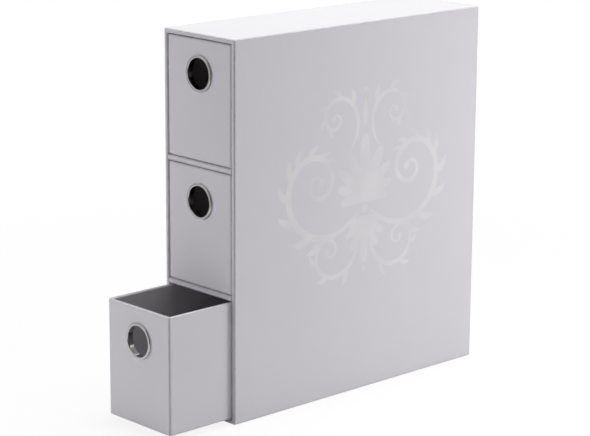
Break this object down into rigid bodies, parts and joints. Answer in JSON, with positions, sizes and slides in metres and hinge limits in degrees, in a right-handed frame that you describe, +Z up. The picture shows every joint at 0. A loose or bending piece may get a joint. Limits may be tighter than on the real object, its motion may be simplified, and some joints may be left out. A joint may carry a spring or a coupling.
{
  "type": "card drawer box",
  "caption": "Tall board box with stacked paper-covered drawers for upright sleeved cards, pulled by round metal eyelets.",
  "frame": {"origin": "middle of the case's underside, the face that it stands on", "axes": "+Z up, -Y out of the drawers' fronts, +X to the right of someone facing the drawers; the rest pose has the bottom drawer open by 64 mm"},
  "size_m": [0.0842, 0.345, 0.3122],
  "materials": {
    "covering_paper": "white coated paper, faintly lilac, nearly matt",
    "greyboard": "dense grey board, matt",
    "lining_paper": "pale grey lining paper, matt",
    "nickel_plate": "polished nickel plate"
  },
  "bodies": {
    "case": {"top_board": "greyboard", "left_side_board": "greyboard", "right_side_board": "greyboard", "bottom_board": "greyboard", "back_board": "greyboard", "outer_cover": "covering_paper", "back_sheet": "covering_paper", "base_sheet": "covering_paper", "lower_shelf_board": "greyboard", "lower_shelf_cover": "covering_paper", "upper_shelf_board": "greyboard", "upper_shelf_cover": "covering_paper"},
    "bottom_drawer": {"bottom_drawer_front_board": "greyboard", "bottom_drawer_left_board": "greyboard", "bottom_drawer_right_board": "greyboard", "bottom_drawer_back_board": "greyboard", "bottom_drawer_floor_board": "greyboard", "bottom_drawer_cover": "covering_paper", "bottom_drawer_floor_sheet": "covering_paper", "bottom_drawer_lining": "lining_paper", "bottom_eyelet_ring": "nickel_plate", "bottom_eyelet_washer": "nickel_plate"},
    "middle_drawer": {"middle_drawer_front_board": "greyboard", "middle_drawer_left_board": "greyboard", "middle_drawer_right_board": "greyboard", "middle_drawer_back_board": "greyboard", "middle_drawer_floor_board": "greyboard", "middle_drawer_cover": "covering_paper", "middle_drawer_floor_sheet": "covering_paper", "middle_drawer_lining": "lining_paper", "middle_eyelet_ring": "nickel_plate", "middle_eyelet_washer": "nickel_plate"},
    "top_drawer": {"top_drawer_front_board": "greyboard", "top_drawer_left_board": "greyboard", "top_drawer_right_board": "greyboard", "top_drawer_back_board": "greyboard", "top_drawer_floor_board": "greyboard", "top_drawer_cover": "covering_paper", "top_drawer_floor_sheet": "covering_paper", "top_drawer_lining": "lining_paper", "top_eyelet_ring": "nickel_plate", "top_eyelet_washer": "nickel_plate"}
  },
  "joints": [
    {"name": "bottom_drawer_slide", "type": "slide", "parent": "case", "child": "bottom_drawer", "axis": [0, -1, 0], "range_m": [-0.064, 0.196]},
    {"name": "middle_drawer_slide", "type": "slide", "parent": "case", "child": "middle_drawer", "axis": [0, -1, 0], "range_m": [0, 0.26]},
    {"name": "top_drawer_slide", "type": "slide", "parent": "case", "child": "top_drawer", "axis": [0, -1, 0], "range_m": [0, 0.26]}
  ]
}
